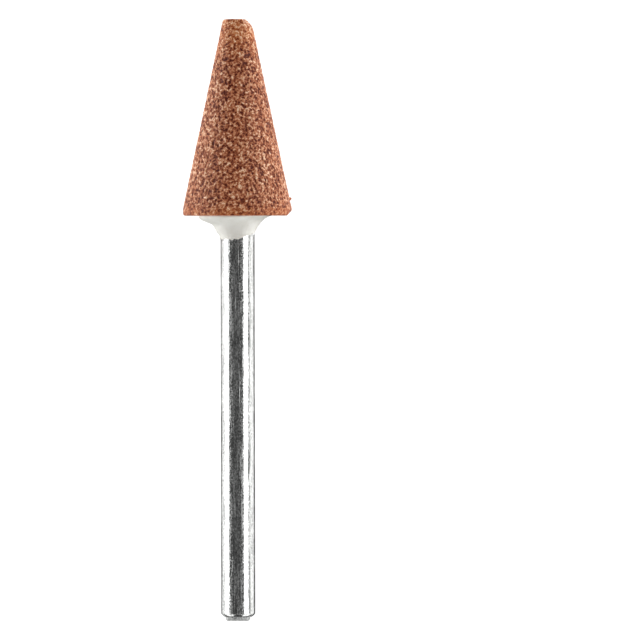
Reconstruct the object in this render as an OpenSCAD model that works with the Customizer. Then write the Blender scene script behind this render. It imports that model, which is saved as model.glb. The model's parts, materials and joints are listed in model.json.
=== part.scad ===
// Mounted grinding point: a conical abrasive stone cemented on a plain steel shank.
// It lies at rest on the rim of its stone and on the bevelled end of its shank, with its tip towards +Y.
// Each piece is drawn upright on the shank's axis, from the free end at z = 0 up to the tip, with the side
// that faces up at rest towards -Y and the right-hand side towards +X, and is then laid down.

/* [Shank] */
// Diameter of the shank, which a collet holds
shank_d = 3.175; // [2.8:0.005:3.6]
// Length from the shank's free end to the stone
shank_reach = 37.65; // [25:0.05:60]
// Length of shank inside the stone
shank_grip = 7.4; // [5:0.1:9]
// Bevel round the free end, measured along and across
bevel = 0.3; // [0.2:0.01:0.4]
// Diameter of the low pip that cropping left on the free end
pip_d = 2.3; // [1.2:0.01:2.4]
// Height of that pip
pip_h = 0.38; // [0.3:0.01:1]
// Bevel round the pip's own edge
pip_bevel = 0.17; // [0.05:0.01:0.25]
// Distance from the shank's axis to the pip's, to the left
pip_shift = 0.03; // [0:0.01:0.1]

/* [Knurl] */
// Number of ridges in the straight knurl that the cement grips
knurl_count = 20; // [14:1:28]
// Depth of the grooves between the ridges
knurl_depth = 0.22; // [0.15:0.01:0.3]
// Distance of the ridges below the plain shank
knurl_relief = 0.03; // [0.02:0.01:0.06]
// Lead-in bevel at the end inside the stone
knurl_lead = 0.4; // [0.2:0.05:0.8]
// Distance from the highest point of the collar's edge up to the start of the knurl
knurl_cover = 0.02; // [0.01:0.01:0.05]

/* [Stone] */
// Largest diameter, at the rim
rim_d = 10.06; // [9:0.02:14]
// Height of the straight land round the rim
rim_land = 0.65; // [0.4:0.05:2]
// Radius of the rim's edge
rim_round = 0.2; // [0.1:0.05:0.35]
// Length from the flat base to the tip
stone_l = 18.2; // [14:0.02:25]
// Diameter of the tip before its edge is rounded
tip_d = 2.58; // [2:0.02:5]
// Radius of the tip's edge
tip_round = 0.2; // [0.1:0.05:0.4]
// Distance from the shank's axis to the stone's, towards the side that rest leaves on top
stone_shift = 0.13; // [0:0.01:0.3]

/* [Wear] */
// Part of the tip's radius that the chip takes away
chip_in = 0.46; // [0.2:0.02:0.8]
// Lean of the chip's face from the axis, in degrees
chip_slope = 34; // [20:1:60]
// Direction of the chip, in degrees from the right towards the back
chip_turn = -12; // [-60:1:60]
// Part of the base's radius that wear has taken at the rim
worn_in = 0.44; // [0.2:0.02:0.8]
// Lean of the worn face from the axis, in degrees
worn_slope = 43; // [30:1:60]
// Direction of the worn place, in degrees from the right towards the back
worn_turn = 0; // [-60:1:60]

/* [Cement] */
// Thickness of cement between the shank and the bore
cement_wall = 0.16; // [0.1:0.01:0.4]
// Thickness of cement between the end of the shank and the bottom of the bore
cement_end = 0.5; // [0.2:0.05:1]
// Spread of the collar over the stone's base, out from the shank
collar_reach = 1.8; // [1:0.02:2.4]
// Extra spread on the left, and the same less on the right
collar_reach_swing = 0.22; // [0:0.02:0.5]
// Length of the collar down the shank
collar_drop = 1.96; // [1.4:0.02:3]
// Extra length where the collar runs lowest, and the same less on the opposite side
collar_drop_swing = 0.19; // [0:0.01:0.2]
// Direction in which the collar runs lowest, in degrees from the right towards the back
collar_drop_turn = 215; // [0:1:360]
// Thickness of the collar's rim under the stone, on the left; it thins to a tenth of that on the right
collar_rim = 0.34; // [0.05:0.01:0.5]
// Thickness of the collar's lower edge
collar_lip = 0.05; // [0.03:0.01:0.07]
// Roundness of the collar's hollow: 1 is a straight slope and 2 is an ellipse
collar_hollow = 1.8; // [1.2:0.1:2]

/* [Hidden] */
$fn = 96;

// Steps round the collar and up its hollow
collar_sides = 48;
collar_steps = 9;
// Overlap that joins the solids of one piece
join = 0.1;

shank_r = shank_d / 2;
rim_r = rim_d / 2;
tip_r = tip_d / 2;
bore_d = shank_d + 2 * cement_wall;
bore_depth = shank_grip + cement_end;
// Where the bevel ends and the plain shank starts, and where the knurl starts
plain_z = pip_h + bevel;
knurl_z = shank_reach - collar_drop + collar_drop_swing + knurl_cover;
shank_end_z = shank_reach + shank_grip;

// Half angle of the cone, and the centre of the tip's round
cone_angle = atan2(rim_r - tip_r, stone_l - rim_land);
tip_round_x = tip_r + tip_round * (tan(cone_angle) - 1 / cos(cone_angle));
tip_round_z = stone_l - tip_round;

// At rest the point has rolled until its off-centre stone is on top, and the axis rises to the tip until the
// shank's bevel and the rim's round both touch the ground
rest_run = shank_reach + rim_round - plain_z;
rest_rise = rim_r - rim_round - stone_shift - shank_r;
rest_tilt = atan2(rest_rise, rest_run) + asin(rim_round / norm([rest_run, rest_rise]));
rest_lift = shank_r * cos(rest_tilt) - plain_z * sin(rest_tilt);
// Both ends of the laid-down point along Y, and the middle between them
heel_y = -(pip_d / 2 - pip_bevel) * sin(rest_tilt);
tip_y = tip_round + (shank_reach + tip_round_z) * cos(rest_tilt)
    + (tip_round_x - stone_shift) * sin(rest_tilt);
middle_y = (heel_y + tip_y) / 2;

module laid_down() {
    translate([0, -middle_y, rest_lift]) rotate([rest_tilt - 90, 0, 0]) children();
}

// Straight knurl: a ridged bar with a bevelled end
module knurled_end(from_z, to_z) {
    ridge_r = shank_r - knurl_relief;
    groove_r = ridge_r - knurl_depth;
    length = to_z - from_z;
    translate([0, 0, from_z]) intersection() {
        linear_extrude(length)
            polygon([for (i = [0 : 2 * knurl_count - 1])
                let (turn = 180 * i / knurl_count)
                (i % 2 == 0 ? ridge_r : groove_r) * [cos(turn), sin(turn)]]);
        rotate_extrude()
            polygon([[0, 0], [shank_r, 0], [shank_r, length - knurl_lead], [shank_r - knurl_lead, length],
                [0, length]]);
    }
}

// Pip on the free end, run on into the bevel
module cropped_pip() {
    translate([-pip_shift, 0, 0]) {
        cylinder(d1 = pip_d - 2 * pip_bevel, d2 = pip_d, h = pip_bevel);
        translate([0, 0, pip_bevel]) cylinder(d = pip_d, h = pip_h - pip_bevel + bevel);
    }
}

module shank_bar() {
    cropped_pip();
    translate([0, 0, pip_h]) cylinder(r1 = shank_r - bevel, r2 = shank_r, h = bevel);
    translate([0, 0, plain_z]) cylinder(r = shank_r, h = knurl_z - plain_z);
    knurled_end(knurl_z - join, shank_end_z);
}

// Everything beyond a flat face that leans from the axis by slope and starts at the origin
module beyond_face(slope) {
    size = rim_d;
    rotate([0, -slope, 0]) translate([0, -size / 2, -size / 2]) cube(size);
}

// The whole stone, with its base at z = 0
module stone_blank() {
    rotate_extrude() {
        polygon([[0, 0], [rim_r - rim_round, 0], [rim_r, rim_round], [rim_r, rim_land],
            [tip_round_x + tip_round * cos(cone_angle), tip_round_z + tip_round * sin(cone_angle)],
            [tip_round_x, stone_l], [0, stone_l]]);
        translate([rim_r - rim_round, rim_round]) circle(rim_round);
        translate([tip_round_x, tip_round_z]) circle(tip_round);
    }
}

module worn_stone() {
    difference() {
        stone_blank();
        rotate([0, 0, chip_turn]) translate([tip_r - chip_in, 0, stone_l]) beyond_face(chip_slope);
        rotate([0, 0, worn_turn]) translate([rim_r - worn_in, 0, 0]) beyond_face(-worn_slope);
    }
}

// Bore in the stone, which the cement fills, run on below the base by extra
module blind_bore(extra) {
    translate([0, 0, shank_reach - extra]) cylinder(d = bore_d, h = bore_depth + extra);
}

// Point on the collar's hollow: rise runs from 0 at its lower edge to 90 at its rim
function collar_point(turn, rise) =
    let (
        power = 2 / collar_hollow,
        reach = collar_reach - collar_reach_swing * cos(turn),
        drop = collar_drop + collar_drop_swing * cos(turn - collar_drop_turn),
        rim = collar_rim * (0.55 - 0.45 * cos(turn)),
        r = shank_r + collar_lip + (reach - collar_lip) * (1 - pow(cos(rise), power)),
        z = shank_reach - rim - (drop - rim) * (1 - pow(sin(rise), power))
    )
    [r * cos(turn), r * sin(turn), z];

// Point on the collar's rim, where it meets the stone
function rim_point(turn) = let (edge = collar_point(turn, 90)) [edge.x, edge.y, shank_reach];

// Solid inside the collar's hollow, closed to the axis at both ends
module collar_body() {
    count = collar_sides;
    rows = collar_steps + 1;
    rings = [for (row = [0 : rows]) for (side = [0 : count - 1])
        let (turn = 360 * side / count)
        row < rows ? collar_point(turn, 90 * row / collar_steps) : rim_point(turn)];
    low = len(rings);
    high = low + 1;
    walls = [for (row = [0 : rows - 1]) for (side = [0 : count - 1])
        let (
            next = (side + 1) % count,
            a = row * count + side,
            b = row * count + next,
            c = a + count,
            d = b + count
        )
        each [[a, d, b], [a, c, d]]];
    floor_fan = [for (side = [0 : count - 1]) [low, side, (side + 1) % count]];
    roof_fan = [for (side = [0 : count - 1]) [high, rows * count + (side + 1) % count, rows * count + side]];
    polyhedron(concat(rings, [[0, 0, shank_reach - collar_drop], [0, 0, shank_reach]]),
        concat(walls, floor_fan, roof_fan));
}

// Vitrified abrasive stone with a blind bore, a chipped tip and a worn rim
module abrasive_head() {
    color("sienna") laid_down() difference() {
        translate([0, -stone_shift, shank_reach]) worn_stone();
        blind_bore(join);
    }
}

// Steel shank with a cropped free end and a knurled bonded end
module steel_shank() {
    color("silver") laid_down() shank_bar();
}

// Cured cement: an uneven collar under the stone, and the filling of the bore round the shank
module cement_collar() {
    color("ivory") laid_down() difference() {
        union() {
            collar_body();
            blind_bore(join);
        }
        shank_bar();
    }
}

abrasive_head();
steel_shank();
cement_collar();
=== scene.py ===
# %% [markdown]
# # A mounted grinding point
# A mounted point is a small shaped grinding stone on a steel shank, run at high speed in a hand-held
# grinder. This lesson dresses the three solids of one such point: the stone, the shank, and the cement
# between them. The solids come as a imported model, in metres, lying as the point comes to rest on a
# table. Nothing here moves or resizes them: each piece below is built on the solid that it stands for.

import json
import math

import bpy
import numpy as np
from mathutils import Matrix, Quaternion, Vector
from mathutils.bvhtree import BVHTree
from mathutils.kdtree import KDTree


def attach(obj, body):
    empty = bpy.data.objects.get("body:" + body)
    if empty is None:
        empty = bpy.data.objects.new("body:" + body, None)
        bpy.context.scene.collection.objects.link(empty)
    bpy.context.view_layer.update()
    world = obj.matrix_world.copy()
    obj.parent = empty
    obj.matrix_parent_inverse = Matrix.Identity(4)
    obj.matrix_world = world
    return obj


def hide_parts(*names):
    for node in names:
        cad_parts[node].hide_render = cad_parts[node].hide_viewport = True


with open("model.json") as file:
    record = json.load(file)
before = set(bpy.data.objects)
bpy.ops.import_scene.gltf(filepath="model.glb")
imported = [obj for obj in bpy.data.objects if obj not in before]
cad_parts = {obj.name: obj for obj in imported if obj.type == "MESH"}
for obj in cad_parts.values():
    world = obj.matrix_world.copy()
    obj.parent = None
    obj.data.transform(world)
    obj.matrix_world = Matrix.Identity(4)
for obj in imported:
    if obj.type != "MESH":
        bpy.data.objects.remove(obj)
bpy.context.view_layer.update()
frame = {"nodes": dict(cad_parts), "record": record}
MM = 0.001
print("solids:", ", ".join(sorted(frame["nodes"])))

# %% [markdown]
# ## The point's own axes
# The point lies tilted, because its stone is wider than its shank. A turned piece is far easier to
# shape upright, so every mesh below is drawn on the point's own axes, in millimetres: x to the right, y
# to the back, and z up the shank from its free end. The shank's mount in the record gives the axis, and
# its solid says where it ends. One matrix then lays a piece down.

# %% The point's own axes
shank_mount = next(m for m in frame["record"]["mounts"] if m["name"] == "shank")
along = -Vector(shank_mount["axis"]).normalized()
right = Vector((1, 0, 0))
back = along.cross(right)
axes = np.array([right, back, along])


def mesh_points(mesh):
    """All vertices of a mesh, one to a row."""
    flat = np.empty(len(mesh.vertices) * 3)
    mesh.vertices.foreach_get("co", flat)
    return flat.reshape(-1, 3)


mount_place = np.array(shank_mount["pos_m"])
shank_heights = (mesh_points(frame["nodes"]["steel_shank"].data) - mount_place) @ axes[2]
heel = mount_place + axes[2] * shank_heights.min()
lay_down = Matrix.Translation(heel) @ Matrix((right, back, along)).transposed().to_4x4()


def own_points(node):
    """A solid's vertices on the point's own axes, in millimetres."""
    return (mesh_points(frame["nodes"][node].data) - heel) @ axes.T / MM


shank_r = shank_mount["dims"]["r_mm"]
shank_top = own_points("steel_shank")[:, 2].max()
base_z = own_points("abrasive_head")[:, 2].min()
tip_z = own_points("abrasive_head")[:, 2].max()
print(f"shank: {2 * shank_r:.3f} mm thick, up to {shank_top:.2f} mm; stone: {base_z:.2f} to {tip_z:.2f} mm")

# %% [markdown]
# ## Camera
# The photograph looks square at the side of the point, through a long lens and from far off, so that
# the rings at both ends look straight. As the point lies, that is a view from above that leans a few
# degrees towards the free end. The width of the shank in the picture gives the scale, and the place of
# the point in it gives the aim.

# %% Camera
PICTURE_PX = 640
SHANK_WIDTH_PX = 34.2
POINT_MIDDLE_PX = (237.6, 320.1)
PICTURE_TWIST = math.radians(-0.1)
CAMERA_DISTANCE = 800.0
CAMERA_LEAN = math.radians(4.4)

mm_per_px = 2 * shank_r / SHANK_WIDTH_PX
aside, below = [(middle - PICTURE_PX / 2) * mm_per_px for middle in POINT_MIDDLE_PX]
aim = Vector(heel) + (along * (tip_z / 2 + below) - right * aside) * MM
towards_camera = Vector((0, -math.sin(CAMERA_LEAN), math.cos(CAMERA_LEAN)))

camera = bpy.data.objects.new("camera", bpy.data.cameras.new("camera"))
camera.data.lens = camera.data.sensor_width * CAMERA_DISTANCE / (PICTURE_PX * mm_per_px)
camera.data.clip_start = 0.01
camera.location = aim + towards_camera * CAMERA_DISTANCE * MM
camera.rotation_mode = "QUATERNION"
square_on = (-towards_camera).to_track_quat("-Z", "Y")
camera.rotation_quaternion = square_on @ Quaternion((0, 0, 1), PICTURE_TWIST)
bpy.context.scene.collection.objects.link(camera)
bpy.context.scene.camera = camera
print(f"camera: {camera.data.lens:.0f} mm lens, {mm_per_px:.4f} mm to a pixel")

# %% [markdown]
# ## Helpers for finishes
# Colours are written as the sRGB values that a paint chart or a picture gives, and a shader wants them
# linear. Node trees are long to write by hand, so one function adds a node, sets its properties, and
# fills each of its inputs with a value or with a link from another node.

# %% Finish helpers
def linear(code):
    """A hex sRGB colour as a linear colour with full alpha."""
    parts = [int(code[i:i + 2], 16) / 255 for i in (1, 3, 5)]
    return [c / 12.92 if c <= 0.04045 else ((c + 0.055) / 1.055) ** 2.4 for c in parts] + [1.0]


def add(tree, kind, inputs=None, stops=(), **settings):
    """Adds a node. inputs gives a value or a link for each socket, stops the colours of a ramp."""
    node = tree.nodes.new(kind)
    for name, value in settings.items():
        setattr(node, name, value)
    for number, (position, code) in enumerate(stops):
        ramp = node.color_ramp.elements
        stop = ramp[number] if number < 2 else ramp.new(position)
        stop.position = position
        stop.color = linear(code)
    for name, value in (inputs or {}).items():
        socket = next(s for s in node.inputs if s.enabled and name in (s.identifier, s.name))
        if isinstance(value, bpy.types.NodeSocket):
            tree.links.new(value, socket)
        else:
            socket.default_value = value
    return node


def new_finish(name):
    """An empty material and its node tree."""
    finish = bpy.data.materials.new(name)
    finish.use_nodes = True
    finish.node_tree.nodes.clear()
    return finish, finish.node_tree


def own_place(tree):
    """Texture coordinates on the point's own axes, in metres."""
    stand_up = lay_down.inverted()
    place = add(tree, "ShaderNodeTexCoord")
    return add(tree, "ShaderNodeMapping", {
        "Vector": place.outputs["Object"], "Location": stand_up.translation,
        "Rotation": stand_up.to_euler()}).outputs["Vector"]


print("helpers: linear, add, new_finish, own_place")

# %% [markdown]
# ## Floor
# The picture is a plain studio shot on white. The floor is a sheet of opal acrylic, lit a little from
# below, and the camera sees it burnt out to white, so that only a trace of shadow is left.

# %% Floor
TABLE_GLOW = 1.0
BURNT_WHITE = 1.15
BURNT_OUT = 0.75
FLOOR_HALF = 1.5
FLOOR_CORNERS = ((-1, -1), (1, -1), (1, 1), (-1, 1))

acrylic, tree = new_finish("opal_acrylic")
table = add(tree, "ShaderNodeBsdfPrincipled", {
    "Base Color": linear("#f0f0ee"), "Roughness": 1.0, "Specular IOR Level": 0.0,
    "Emission Color": linear("#ffffff"), "Emission Strength": TABLE_GLOW})
white = add(tree, "ShaderNodeEmission", {"Color": linear("#ffffff"), "Strength": BURNT_WHITE})
ray = add(tree, "ShaderNodeLightPath")
share = add(tree, "ShaderNodeMath", {"Value": ray.outputs["Is Camera Ray"], "Value_001": BURNT_OUT},
            operation="MULTIPLY")
seen = add(tree, "ShaderNodeMixShader", {
    "Fac": share.outputs["Value"], "Shader": table.outputs["BSDF"],
    "Shader_001": white.outputs["Emission"]})
add(tree, "ShaderNodeOutputMaterial", {"Surface": seen.outputs["Shader"]})


def flat_stage(name, corners, finish):
    """A flat piece of the stage."""
    mesh = bpy.data.meshes.new(name)
    mesh.from_pydata(corners, [], [tuple(range(len(corners)))])
    mesh.materials.append(finish)
    piece = bpy.data.objects.new(name, mesh)
    bpy.context.scene.collection.objects.link(piece)
    return piece


flat_stage("floor", [(x * FLOOR_HALF, y * FLOOR_HALF, 0) for x, y in FLOOR_CORNERS], acrylic)
print(f"floor: {2 * FLOOR_HALF:.0f} m square")

# %% [markdown]
# ## Painted shadow sheets
# Bright metal on white would lose its edges. So narrow dark sheets of painted shadow lie beside the shank
# and beyond its free end, standing in for the shade on the floor round the point. The camera doesn't see
# them, but the metal mirrors them, and they draw a thin dark line along each edge.

# %% Painted shadow sheets
SHADOW_SHEET_LIFT = 0.00005
SHADOW_SHEET_RUN = 0.6
END_SHADOW_SHEETS = (("near_card", "#808080", 3.0, 0.8, 12.0), ("far_card", "#585858", 5.0, 12.0, 80.0))


def shadow_sheet(name, code, corners):
    """A matt sheet of painted shadow just above the floor, which only mirrors can see."""
    finish, tree = new_finish(name)
    matt = add(tree, "ShaderNodeBsdfDiffuse", {"Color": linear(code)})
    add(tree, "ShaderNodeOutputMaterial", {"Surface": matt.outputs["BSDF"]})
    flat_stage(name, [(x, y, SHADOW_SHEET_LIFT) for x, y in corners], finish).visible_camera = False


def edge_shadow_sheet(name, code, start_mm, slope):
    """A sheet of painted shadow beside the shank. It is as wide as start plus slope times the height of the
    shank's axis.
    """
    near, far = [Vector(heel) + along * z * MM for z in (-SHADOW_SHEET_RUN, base_z)]
    outer = [(start_mm * MM + slope * p.z, p.y) for p in (far, near)]
    shadow_sheet(name, code, [(0, near.y), (0, far.y)] + outer)


# Painted shadow: a dark sheet right of the shank, a pale grey one left of it, and two grey sheets beyond
# its free end.
edge_shadow_sheet("black_card", "#303030", start_mm=2.06, slope=0.98)
edge_shadow_sheet("grey_card", "#e8e8e8", start_mm=-2.15, slope=-1.1)
for name, code, half, start, end in END_SHADOW_SHEETS:
    corners = ((-half, start), (-half, end), (half, end), (half, start))
    shadow_sheet(name, code, [(x * MM, heel[1] - y * MM) for x, y in corners])
print(f"cards: 2 beside the shank and {len(END_SHADOW_SHEETS)} beyond its free end")

# %% [markdown]
# ## Soft boxes and room
# One long soft box stands low on the left and one higher on the right, and the ceiling is dark. A
# bright round bar shows all this as stripes: white from each box, and dark between them where it
# mirrors the ceiling.

# %% Soft boxes and room
BOX_DISTANCE = 0.6
BOX_LENGTH = 1.0
CEILING = 0.11


def soft_box(name, side, low, high, radiance):
    """A long soft box on one side, -1 or 1, that reaches from low to high degrees above the floor."""
    middle = math.radians((low + high) / 2)
    height = 2 * BOX_DISTANCE * math.tan(math.radians(high - low) / 2)
    lamp = bpy.data.lights.new(name, "AREA")
    lamp.shape = "RECTANGLE"
    lamp.size = BOX_LENGTH
    lamp.size_y = height
    lamp.energy = radiance * math.pi * BOX_LENGTH * height
    box = bpy.data.objects.new(name, lamp)
    outward = Vector((side * math.cos(middle), 0, math.sin(middle)))
    across = Vector((0, 1, 0))
    turn = Matrix((across, outward.cross(across), outward)).transposed().to_4x4()
    box.matrix_world = Matrix.Translation(outward * BOX_DISTANCE) @ turn
    box.visible_camera = False
    bpy.context.scene.collection.objects.link(box)
    print(f"{name}: {height * 1000:.0f} mm high, {lamp.energy:.2f} W")


soft_box("left_soft_box", side=-1, low=0, high=25.5, radiance=4.6)
soft_box("right_soft_box", side=1, low=18, high=45.5, radiance=4.6)

room = bpy.data.worlds.new("studio")
room.use_nodes = True
tree = room.node_tree
tree.nodes.clear()
ceiling = add(tree, "ShaderNodeBackground", {"Color": linear("#ffffff"), "Strength": CEILING})
backdrop = add(tree, "ShaderNodeBackground", {"Color": linear("#ffffff"), "Strength": 1.0})
ray = add(tree, "ShaderNodeLightPath")
seen = add(tree, "ShaderNodeMixShader", {
    "Fac": ray.outputs["Is Camera Ray"], "Shader": ceiling.outputs["Background"],
    "Shader_001": backdrop.outputs["Background"]})
add(tree, "ShaderNodeOutputWorld", {"Surface": seen.outputs["Shader"]})
bpy.context.scene.world = room
bpy.context.scene.view_settings.view_transform = "Standard"

# %% [markdown]
# ## Placing a piece
# Each dressed piece takes the place of one solid. It is drawn upright in millimetres, so this step
# scales it to metres, lays it down, gives it its finish, and hides the solid that it stands for.
# Turned pieces are skinned from a stack of rings.

# %% Placing a piece
SHARP_EDGE = math.radians(50)


def place_piece(name, mesh, finish, node):
    """Lays a mesh down in place of a solid."""
    mesh.transform(lay_down @ Matrix.Scale(MM, 4))
    mesh.materials.clear()
    mesh.materials.append(finish)
    mesh.shade_smooth()
    mesh.set_sharp_from_angle(angle=SHARP_EDGE)
    piece = bpy.data.objects.new(name, mesh)
    bpy.context.scene.collection.objects.link(piece)
    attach(piece, "root")
    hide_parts(node)
    print(f"{name}: {sum(len(p.vertices) - 2 for p in mesh.polygons)} triangles")


def skin(name, rings):
    """A closed mesh through a stack of rings, each with as many points, and flat at both ends."""
    count = len(rings[0])
    faces = [tuple(reversed(range(count)))]
    for level in range(len(rings) - 1):
        low, high = level * count, (level + 1) * count
        for i in range(count):
            j = (i + 1) % count
            faces.append((low + i, low + j, high + j, high + i))
    faces.append(tuple(range((len(rings) - 1) * count, len(rings) * count)))
    mesh = bpy.data.meshes.new(name)
    mesh.from_pydata(np.concatenate(rings).tolist(), [], faces)
    return mesh


print("helpers: place_piece, skin")

# %% [markdown]
# ## The shank
# The shank is bright drawn steel wire, cropped to length. A cropping tool leaves a short rough pip, a
# little off centre, inside a bevel. A plain cylinder would have knife edges, which no real bar has and
# which catch no light, so the profile of the free end is read from the solid and each of its corners is
# rounded off, most of all where the bevel ends. The far end, under the cement, is knurled for grip.

# %% The shank's shape
TURNS = 160
EDGE_ROUND = (0.05, 0.05)
HEEL_ROUND = (0.08, 0.2)
CORNER_STEPS = 6
PIP_WAVE = 0.07
SAME_HEIGHT = 0.001
KNURL_COUNT = 20
KNURL_DEPTH = 0.22
KNURL_RELIEF = 0.03
KNURL_LEAD = 0.4

turns = np.arange(TURNS) * 2 * math.pi / TURNS


def ring_at(points, z):
    """Offset to the right, radius and height of the widest ring of a solid at a height."""
    ring_x = points[np.abs(points[:, 2] - z) < SAME_HEIGHT, 0]
    return (ring_x.max() + ring_x.min()) / 2, (ring_x.max() - ring_x.min()) / 2, z


def rounded(profile, cuts):
    """A profile with each inner corner cut back by two lengths, before it and after it, and bent round."""
    points = [np.array(p) for p in profile]
    path = [points[0]]
    for before, corner, after, cut in zip(points, points[1:], points[2:], cuts):
        cut_in, cut_out = [(p - corner) * length / np.linalg.norm(p - corner)
                           for p, length in zip((before, after), cut)]
        for t in np.linspace(0, 1, CORNER_STEPS + 1):
            path.append(corner + cut_in * (1 - t) ** 2 + cut_out * t ** 2)
    return path + [points[-1]]


def circle(offset, radius, z):
    """A ring of points. Its radius and its height may change with the turn."""
    return np.stack([offset + radius * np.cos(turns), radius * np.sin(turns), z + 0 * turns], 1)


shank_solid = own_points("steel_shank")
face_z, edge_z, step_z, _, wall_z = np.unique(shank_solid[:, 2].round(3))[:5]
pip_offset, pip_r, _ = ring_at(shank_solid, edge_z)
wall_end = wall_z + shank_mount["dims"]["length_mm"]
profile = [ring_at(shank_solid, face_z), (pip_offset, pip_r, edge_z), (pip_offset, pip_r, step_z),
           ring_at(shank_solid, step_z), (0, shank_r, wall_z), (0, shank_r, wall_end)]
shank_rings = [circle(*p) for p in rounded(profile, [EDGE_ROUND, EDGE_ROUND, HEEL_ROUND, EDGE_ROUND])]
for ring in shank_rings:
    nearness = np.clip(1 - ring[:, 2] / step_z, 0, 1)
    ring[:, 2] += PIP_WAVE * nearness * np.sin(turns) ** 2
teeth = KNURL_RELIEF + KNURL_DEPTH * np.abs((turns * KNURL_COUNT / math.pi) % 2 - 1)
lead_in = np.maximum(teeth, KNURL_LEAD)
for inset, z in ((teeth, wall_end), (teeth, shank_top - KNURL_LEAD), (lead_in, shank_top)):
    shank_rings.append(circle(0, shank_r - inset, z))
print(f"free end: pip of {2 * pip_r:.2f} mm, {pip_offset:.2f} mm off centre, "
      f"plain wall from {wall_z:.2f} mm")

# %% [markdown]
# ## The shank's finish
# Drawn steel mirrors the room, but not like glass. The die leaves fine scores along the bar, and the
# dull skin between them is patchy. The scores are bump, long along the bar and thin across it: they
# fray the edges of each stripe. The patches are flecks, streaks and broad smudges, and they change the
# colour and the roughness: a rough bare spot scatters light from the boxes into the dark stripe and
# shows there as a pale fleck. A few long scratches do the same. The bevel is smoother. The sheared pip
# is torn, dull and darker all over, more like grey stone than metal.

# %% The shank's finish
SCORE_MM = (0.09, 1.6)
FLECK_MM = (0.07, 0.16)
STREAK_MM = (0.10, 2.5)
SMUDGE_MM = (0.5, 1.6)
SCRATCH_MM = (0.06, 4.0)
SCORE_DEPTH_MM = 0.0014


def streaks(tree, place, size_mm, detail):
    """Noise of a given size across and along the bar."""
    across, length = [1 / (s * MM) for s in size_mm]
    stretched = add(tree, "ShaderNodeMapping", {"Vector": place, "Scale": (across, across, length)})
    return add(tree, "ShaderNodeTexNoise", {
        "Vector": stretched.outputs["Vector"], "Scale": 1.0, "Detail": detail}).outputs["Fac"]


steel, tree = new_finish("bright_drawn_steel")
place = own_place(tree)
marks = add(tree, "ShaderNodeMix", {
    "Factor_Float": 0.4, "A_Float": streaks(tree, place, FLECK_MM, 3.0),
    "B_Float": streaks(tree, place, STREAK_MM, 2.0)})
patches = add(tree, "ShaderNodeMix", {
    "Factor_Float": 0.12, "A_Float": marks.outputs["Result"],
    "B_Float": streaks(tree, place, SMUDGE_MM, 1.0)}).outputs["Result"]
flecks = add(tree, "ShaderNodeMapRange", {
    "Value": patches, "From Min": 0.42, "From Max": 0.62, "To Min": 0.12, "To Max": 0.38})
bare = add(tree, "ShaderNodeValToRGB", {"Fac": patches}, stops=((0.41, "#8e8f8e"), (0.59, "#f3f4f3")))
scratches = add(tree, "ShaderNodeMapRange", {
    "Value": streaks(tree, place, SCRATCH_MM, 1.0),
    "From Min": 0.66, "From Max": 0.71, "To Min": 0.0, "To Max": 0.5})
dull = add(tree, "ShaderNodeMath", {
    "Value": flecks.outputs["Result"], "Value_001": scratches.outputs["Result"]}, operation="ADD")
height = add(tree, "ShaderNodeSeparateXYZ", {"Vector": place})
turned = add(tree, "ShaderNodeMapRange", {
    "Value": height.outputs["Z"], "From Min": (wall_z - EDGE_ROUND[0]) * MM, "From Max": wall_z * MM,
    "To Min": 0.3, "To Max": 1.0})
drawn = add(tree, "ShaderNodeMath", {
    "Value": dull.outputs["Value"], "Value_001": turned.outputs["Result"]}, operation="MULTIPLY")
sheared = add(tree, "ShaderNodeMapRange", {
    "Value": height.outputs["Z"], "From Min": step_z * MM, "From Max": (step_z + EDGE_ROUND[0]) * MM,
    "To Min": 0.8, "To Max": 0.0})
rough = add(tree, "ShaderNodeMath", {
    "Value": drawn.outputs["Value"], "Value_001": sheared.outputs["Result"]}, operation="MAXIMUM")
bright = add(tree, "ShaderNodeMath", {
    "Value": 1.0, "Value_001": sheared.outputs["Result"]}, operation="SUBTRACT")
scores = add(tree, "ShaderNodeBump", {
    "Height": streaks(tree, place, SCORE_MM, 3.0), "Distance": SCORE_DEPTH_MM * MM, "Strength": 1.0})
torn = add(tree, "ShaderNodeHueSaturation", {
    "Color": bare.outputs["Color"], "Fac": sheared.outputs["Result"], "Value": 0.68})
metal = add(tree, "ShaderNodeBsdfPrincipled", {
    "Base Color": torn.outputs["Color"], "Metallic": bright.outputs["Value"],
    "Roughness": rough.outputs["Value"], "Normal": scores.outputs["Normal"]})
add(tree, "ShaderNodeOutputMaterial", {"Surface": metal.outputs["BSDF"]})
place_piece("shank", skin("shank", shank_rings), steel, "steel_shank")

# %% [markdown]
# ## The cement collar
# The stone is held by cement, poured into its bore round the knurled end. What spills out sets as a
# flared collar, wider on one side, with a blunt rim and a thin foot on the shank. The solid has that
# form in flat facets. Here rays fan out at it from the middle of its hollow, one fan to each side,
# which gives the hollow as a grid that can be smoothed.

# %% The collar's hollow
BORE_PROBE = 1.0
FOOT_MARGIN = 0.1
HALVINGS = 16
EDGE_INSET = 0.02
COLLAR_ROWS = 44
ROW_CROWDING = 1.5
SMOOTHING = 10

collar_solid = own_points("cement_collar")
collar_faces = [tuple(p.vertices) for p in frame["nodes"]["cement_collar"].data.polygons]
collar_tree = BVHTree.FromPolygons(collar_solid.tolist(), collar_faces)
bore_top = collar_solid[:, 2].max()
bore_r = np.hypot(*collar_solid[collar_solid[:, 2] > base_z + BORE_PROBE, :2].T).max()
probe_r = 3 * shank_r


def distance_to_collar(turn, radius, z, rise):
    """How far a ray goes to the collar, on one side, inwards and up by rise; nothing if it goes past."""
    outward = Vector((math.cos(turn), math.sin(turn), 0))
    start = outward * radius + Vector((0, 0, z))
    ray = Vector((0, 0, math.sin(rise))) - outward * math.cos(rise)
    distance = collar_tree.ray_cast(start, ray)[3]
    return distance if distance and distance < radius else None


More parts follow.
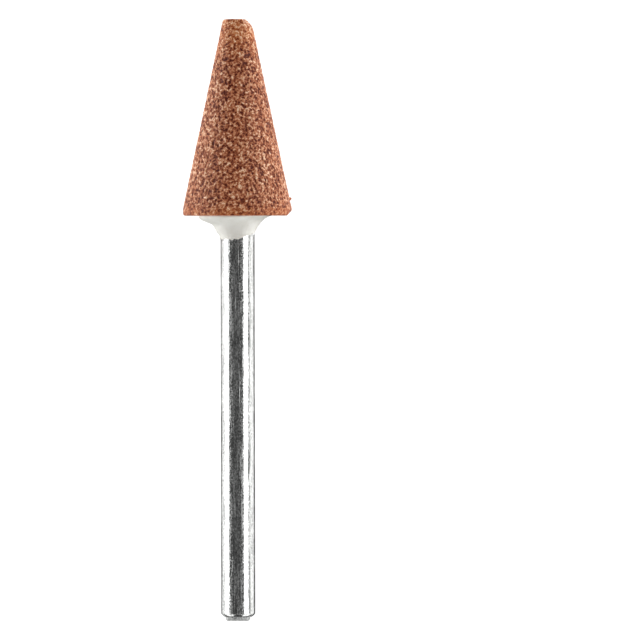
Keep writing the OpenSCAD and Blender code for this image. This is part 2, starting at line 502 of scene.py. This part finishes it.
def collar_foot(turn):
    """Height of the collar's lower edge on one side, found by halving."""
    low, high = collar_solid[:, 2].min() - FOOT_MARGIN, base_z - FOOT_MARGIN
    for _ in range(HALVINGS):
        middle = (low + high) / 2
        if distance_to_collar(turn, probe_r, middle, 0):
            high = middle
        else:
            low = middle
    return high


feet = np.array([collar_foot(t) for t in turns])
edges = np.array([probe_r - distance_to_collar(t, probe_r, base_z - EDGE_INSET / 4, 0) for t in turns])
rises = np.linspace(0, 1, COLLAR_ROWS) ** ROW_CROWDING * math.pi / 2
hollow = np.array([[distance_to_collar(t, e - EDGE_INSET, f, rise) for rise in rises]
                   for t, e, f in zip(turns, edges, feet)])
for _ in range(SMOOTHING):
    hollow[:, 1:-1] = (hollow[:, :-2] + 2 * hollow[:, 1:-1] + hollow[:, 2:]) / 4
    hollow = (np.roll(hollow, 1, 0) + 2 * hollow + np.roll(hollow, -1, 0)) / 4
print(f"collar: reaches {edges.min():.2f} to {edges.max():.2f} mm from the axis, and "
      f"{base_z - feet.max():.2f} to {base_z - feet.min():.2f} mm down the shank")

# %% [markdown]
# ## The collar's shape
# On the left the cement has slumped into two flats with a bend between them, and on the right it is a
# little fuller. The rim's edge is rounded off. The foot is frayed and faintly rippled, as cement is
# that sets while it creeps. Inside, the same skin goes on up the bore and down the shank, so that the
# collar is one casting.

# %% The collar's shape
LEFT_FLATS = 0.13
RIGHT_FILL = 0.08
FRAY_WAVES = (5, 11, 17, 23, 31)
FRAY_SEED = 3
FRAY_FADE = 6
FOOT_FRAY = 0.05
FRONT_RUN = 0.11
RIGHT_HOLD = 0.25
SHANK_OVERLAP = 0.02
RIPPLE_PITCH = 0.17
RIPPLE_DEPTH = 0.025
RIM_ROWS = 6
RIM_SOFTENING = 12
STONE_GRIP = 0.12


def ragged(waves, seed):
    """A wavy line round the bar, between about -1 and 1."""
    phases = np.random.default_rng(seed).uniform(0, 2 * math.pi, len(waves))
    return sum(np.sin(w * turns + p) for w, p in zip(waves, phases)) / math.sqrt(len(waves))


at_front = np.clip(-np.sin(turns), 0, 1) ** 2
at_left, at_right = np.clip(-np.cos(turns), 0, 1), np.clip(np.cos(turns), 0, 1)
hollow -= LEFT_FLATS * np.outer(at_left, np.sin(4 * rises) ** 2)
hollow -= RIGHT_FILL * np.outer(at_right, np.sin(2 * rises))
fray = FOOT_FRAY * ragged(FRAY_WAVES, FRAY_SEED) - FRONT_RUN * at_front + RIGHT_HOLD * at_right

pocket_r = shank_r - SHANK_OVERLAP
collar_rings = [circle(0, pocket_r, shank_top), circle(0, pocket_r, feet + fray)]
for rise, length in zip(rises, hollow.T):
    fade = (1 - rise / (math.pi / 2)) ** FRAY_FADE
    up = length * math.sin(rise)
    ripple = RIPPLE_DEPTH * fade * np.sin(2 * math.pi * up / RIPPLE_PITCH)
    radii = edges - EDGE_INSET - length * math.cos(rise) + ripple
    collar_rings.append(circle(0, radii, feet + up + fray * fade))
rim_z = collar_rings[-1][:, 2]
for share in np.arange(1, RIM_ROWS) / RIM_ROWS:
    collar_rings.append(circle(0, edges, rim_z + share * (base_z - rim_z)))
rim_stack = np.array(collar_rings[COLLAR_ROWS // 2:])
for _ in range(RIM_SOFTENING):
    rim_stack[1:-1] = (rim_stack[:-2] + 2 * rim_stack[1:-1] + rim_stack[2:]) / 4
collar_rings[COLLAR_ROWS // 2:] = list(rim_stack)
collar_rings += [circle(0, edges, base_z + STONE_GRIP), circle(0, bore_r, base_z + STONE_GRIP),
                 circle(0, bore_r, bore_top)]
print(f"collar: {len(collar_rings)} rings, with a rim {base_z - rim_z.max():.2f} to "
      f"{base_z - rim_z.min():.2f} mm thick")

# %% [markdown]
# ## The cement's finish
# The cement is a filled epoxy, cast and left as it set: off-white, smooth and a little waxy, with faint
# clouds where the filler has settled. The clouds also dent it, hardly enough to see.

# %% The cement's finish
CLOUD_MM = 0.6
DENT_MM = 0.02

cement, tree = new_finish("cast_epoxy_cement")
place = own_place(tree)
clouds = add(tree, "ShaderNodeTexNoise", {"Vector": place, "Scale": 1 / (CLOUD_MM * MM), "Detail": 4.0})
tint = add(tree, "ShaderNodeValToRGB", {"Fac": clouds.outputs["Fac"]}, stops=(
    (0.3, "#e2e1d9"), (0.7, "#ebebe5")))
dents = add(tree, "ShaderNodeBump", {
    "Height": clouds.outputs["Fac"], "Distance": DENT_MM * MM, "Strength": 1.0})
epoxy = add(tree, "ShaderNodeBsdfPrincipled", {
    "Base Color": tint.outputs["Color"], "Roughness": 0.38, "IOR": 1.5,
    "Normal": dents.outputs["Normal"]})
add(tree, "ShaderNodeOutputMaterial", {"Surface": epoxy.outputs["BSDF"]})
place_piece("collar", skin("collar", collar_rings), cement, "cement_collar")

# %% [markdown]
# ## The stone: a net of grains and pores
# The stone is vitrified brown aluminium oxide: small hard grains, fused with a glassy bond, with open
# pores between them. Truing has cut the grains level, so the eye sees a pale net of grain tops with a
# dark pore in each mesh of it. Bump alone would leave a smooth outline, so the pores are real shape.
# These helpers remesh the solid evenly, scatter pores through its skin on a shaken lattice, and sink
# each vertex to the floor of the deepest pore under it.

# %% Stone helpers
VOXEL = 0.087
PORE_SEED = 7
PORE_PITCH = 0.18
LATTICE_SHAKE = 0.45
PORE_PLACES = (-0.08, 0.07)
PORE_FLOOR = 0.15

draw = np.random.default_rng(PORE_SEED)


def even_mesh(node):
    """A solid's shape as an even mesh of small quads, on the point's own axes."""
    source = frame["nodes"][node].data.copy()
    source.transform(Matrix.Scale(1 / MM, 4) @ lay_down.inverted())
    holder = bpy.data.objects.new("even", source)
    bpy.context.scene.collection.objects.link(holder)
    remesh = holder.modifiers.new("even", "REMESH")
    remesh.mode = "VOXEL"
    remesh.voxel_size = VOXEL
    depsgraph = bpy.context.evaluated_depsgraph_get()
    even = bpy.data.meshes.new_from_object(holder.evaluated_get(depsgraph))
    bpy.data.objects.remove(holder)
    return even


def search_tree(points):
    """A tree that finds the nearest of many points."""
    tree = KDTree(len(points))
    for number, point in enumerate(points):
        tree.insert(point, number)
    tree.balance()
    return tree


def scatter_pores(points, normals):
    """Centres of pores on a shaken lattice, kept where they lie in the skin of the stone."""
    spans = [np.arange(low, high, PORE_PITCH) for low, high in zip(points.min(0), points.max(0))]
    centres = np.stack(np.meshgrid(*spans, indexing="ij"), -1).reshape(-1, 3)
    centres = centres + draw.uniform(-LATTICE_SHAKE, LATTICE_SHAKE, centres.shape) * PORE_PITCH
    skin_tree = search_tree(points)
    nearest = np.array([skin_tree.find(c)[1] for c in centres])
    depths = np.einsum("ij,ij->i", points[nearest] - centres, normals[nearest])
    return centres[(depths > PORE_PLACES[0]) & (depths < PORE_PLACES[1])]


def sink(points, normals, centres, radii):
    """Height of the deepest pore floor at each vertex, and the pore that is nearest to it."""
    pore_tree = search_tree(centres)
    heights = np.zeros(len(points))
    owners = np.zeros(len(points), int)
    for vertex, (point, normal) in enumerate(zip(map(Vector, points), map(Vector, normals))):
        owners[vertex] = pore_tree.find(point)[1]
        for centre, number, distance in pore_tree.find_range(point, PORE_FLOOR + PORE_PLACES[1]):
            rise = (centre - point).dot(normal)
            half_chord = radii[number] ** 2 - distance ** 2 + rise ** 2
            if half_chord > 0 and rise + math.sqrt(half_chord) > 0:
                heights[vertex] = min(heights[vertex], rise - math.sqrt(half_chord))
    return np.maximum(heights, -PORE_FLOOR), owners


def soften(mesh, values):
    """Values of the vertices, each drawn half way to the mean of its neighbours."""
    ends = np.empty(len(mesh.edges) * 2, int)
    mesh.edges.foreach_get("vertices", ends)
    ends = ends.reshape(-1, 2)
    sums, counts = np.zeros(len(values)), np.zeros(len(values))
    for here, there in (ends.T, ends.T[::-1]):
        np.add.at(sums, here, values[there])
        np.add.at(counts, here, 1)
    return (values + sums / counts) / 2


print("helpers: even_mesh, search_tree, scatter_pores, sink, soften")

# %% [markdown]
# ## The stone's shape
# The solid brings its chip and its worn rim, and a second, flatter face takes the corner off the chip.
# Wear has left only shallow pores at the tip and round the rim. Grain tops stand a little proud, and
# one loose grain, the speck, sticks out above the rim. Every vertex keeps three numbers for the finish:
# how far it has sunk, a shade that it shares with the vertices round the same pore, and how much use
# has rubbed it. That shade also paints the tip a little lighter, partly for its wear and partly as
# painted light.

# %% The stone's shape
CHIP_SLOPE, CHIP_TURN = math.radians(45), math.radians(-12)
CHIP_DEPTH = 0.14
PORE_RADIUS = (0.085, 0.14)
LAND_FADE, LAND_SHARE, LAND_SHADE, LAND_RUB = (0.5, 1.0), 0.5, -0.9, 0.7
TIP_FADE, TIP_SHARE, TIP_WEAR_AND_LIGHT = (-4.0, -1.5), 0.65, 0.1
SPECK_PLACE = (6.0, -0.3, 1.8)
SPECK_RADIUS = 0.17
SPECK_SHADE = -2.5
RELIEF = 0.55
PROUD = 0.03

stone_mesh = even_mesh("abrasive_head")
stone_points = mesh_points(stone_mesh)
chip_out = math.cos(CHIP_SLOPE)
chip_face = np.array([
    chip_out * math.cos(CHIP_TURN), chip_out * math.sin(CHIP_TURN), math.sin(CHIP_SLOPE)])
reach = stone_points @ chip_face
stone_points -= np.outer(np.maximum(reach - reach.max() + CHIP_DEPTH, 0), chip_face)
stone_normals = np.array([n.vector for n in stone_mesh.vertex_normals])
pores = scatter_pores(stone_points, stone_normals)
pore_radii = draw.uniform(*PORE_RADIUS, len(pores))
pore_shades = draw.uniform(0, 1, len(pores))
heights, owners = sink(stone_points, stone_normals, pores, pore_radii)
shades = pore_shades[owners]
heights = soften(stone_mesh, heights)
near_land = np.interp(stone_points[:, 2] - base_z, LAND_FADE, (1, 0))
near_tip = np.interp(stone_points[:, 2] - tip_z, TIP_FADE, (0, 1))
heights *= 1 - (1 - LAND_SHARE) * near_land - (1 - TIP_SHARE) * near_tip
# Painted light: the tip is painted a little lighter, partly for its wear and partly for the light it
# catches.
shades += LAND_SHADE * near_land + TIP_WEAR_AND_LIGHT * near_tip
rubbed = LAND_RUB * near_land + near_tip
speck_place = np.array(SPECK_PLACE) + (0, 0, base_z)
speck = np.argmin(np.linalg.norm(stone_points - speck_place, axis=1))
lift = np.maximum(SPECK_RADIUS ** 2 - ((stone_points - stone_points[speck]) ** 2).sum(1), 0) ** 0.5
heights = np.where(lift > 0, lift, heights)
shades[lift > 0] = SPECK_SHADE
in_bore = np.hypot(*stone_points[:, :2].T) < bore_r + VOXEL
in_bore &= stone_points[:, 2] > base_z + VOXEL
in_bore &= stone_points[:, 2] < bore_top + VOXEL
heights[in_bore] = 0
relief = np.where(heights < 0, heights * RELIEF, heights) + PROUD * ~in_bore
stone_mesh.vertices.foreach_set("co", (stone_points + stone_normals * relief[:, None]).ravel())
for attribute, values in (("pore_shade", shades), ("pore_height", heights), ("rubbed", rubbed)):
    layer = stone_mesh.attributes.new(attribute, "FLOAT", "POINT")
    layer.data.foreach_set("value", values.astype(np.float32))
print(f"stone: {len(pores)} pores, relief from {relief.min():.2f} to {relief.max():.2f} mm")

# %% [markdown]
# ## The stone's finish
# Fused alumina shows every shade from dark brown glass to pink and cream crystal. Depth does most of
# it: the net of grain tops is brown where they are dull, and the pores are painted dark by their depth,
# which is painted shade. Thin pale curls run over it all, drawn where a noise crosses its middle value:
# they are partly the fresh edges of broken grains and partly painted glints, and so is the cream top of
# the colour ramp. Each pore's own shade, the tip's painted light, a fine mottle and soft clumps vary
# that. Where use has rubbed the stone, at the tip and the rim, it is redder. Its shader is matt, with
# hardly a glint of its own.

# %% The stone's finish
MOTTLE_MM = 0.14
CLUMP_MM = 0.7
CURL_MM = 0.3

alumina, tree = new_finish("vitrified_brown_alumina")
shade = add(tree, "ShaderNodeAttribute", attribute_name="pore_shade")
height = add(tree, "ShaderNodeAttribute", attribute_name="pore_height")
rubbing = add(tree, "ShaderNodeAttribute", attribute_name="rubbed")
place = own_place(tree)
mottle, clump, curl = [
    add(tree, "ShaderNodeTexNoise", {"Vector": place, "Scale": 1 / (size * MM), "Detail": 2.0})
    for size in (MOTTLE_MM, CLUMP_MM, CURL_MM)]
# The pale curls are partly fresh grain edges and partly painted glints.
beside = add(tree, "ShaderNodeMath", {
    "Value": curl.outputs["Fac"], "Value_001": 0.5}, operation="SUBTRACT")
away = add(tree, "ShaderNodeMath", {"Value": beside.outputs["Value"]}, operation="ABSOLUTE")
curl_and_glint = add(tree, "ShaderNodeMapRange", {
    "Value": away.outputs["Value"], "From Min": 0.0, "From Max": 0.07, "To Min": 1.0, "To Max": 0.0})
# Painted shade: the deeper a vertex lies in a pore, the darker it is painted.
painted_pit_shade = add(tree, "ShaderNodeMapRange", {
    "Value": height.outputs["Fac"], "From Min": -0.11, "From Max": 0.0})
shares = ((painted_pit_shade.outputs["Result"], 0.72), (shade.outputs["Fac"], 0.2), (mottle.outputs["Fac"], 0.42),
          (clump.outputs["Fac"], 0.8), (curl_and_glint.outputs["Result"], 0.57))
total = 0.0
for part, weight in shares:
    total = add(tree, "ShaderNodeMath", {"Value": part, "Value_001": weight, "Value_002": total},
                operation="MULTIPLY_ADD").outputs["Value"]
tone = add(tree, "ShaderNodeMapRange", {"Value": total, "From Min": 0.79, "From Max": 1.84})
# The cream top of the ramp is partly pale crystal and partly painted glint.
colour = add(tree, "ShaderNodeValToRGB", {"Fac": tone.outputs["Result"]}, stops=(
    (0.0, "#541703"), (1.0, "#f8d6b8"),
    (0.3, "#965031"), (0.5, "#b26a48"), (0.75, "#ca8a63"), (0.88, "#d8a37c")))
redder = add(tree, "ShaderNodeHueSaturation", {
    "Color": colour.outputs["Color"], "Fac": rubbing.outputs["Fac"], "Saturation": 1.06})
grit = add(tree, "ShaderNodeBsdfPrincipled", {
    "Base Color": redder.outputs["Color"], "Roughness": 0.55, "IOR": 1.76,
    "Specular IOR Level": 0.12})
add(tree, "ShaderNodeOutputMaterial", {"Surface": grit.outputs["BSDF"]})
place_piece("stone", stone_mesh, alumina, "abrasive_head")
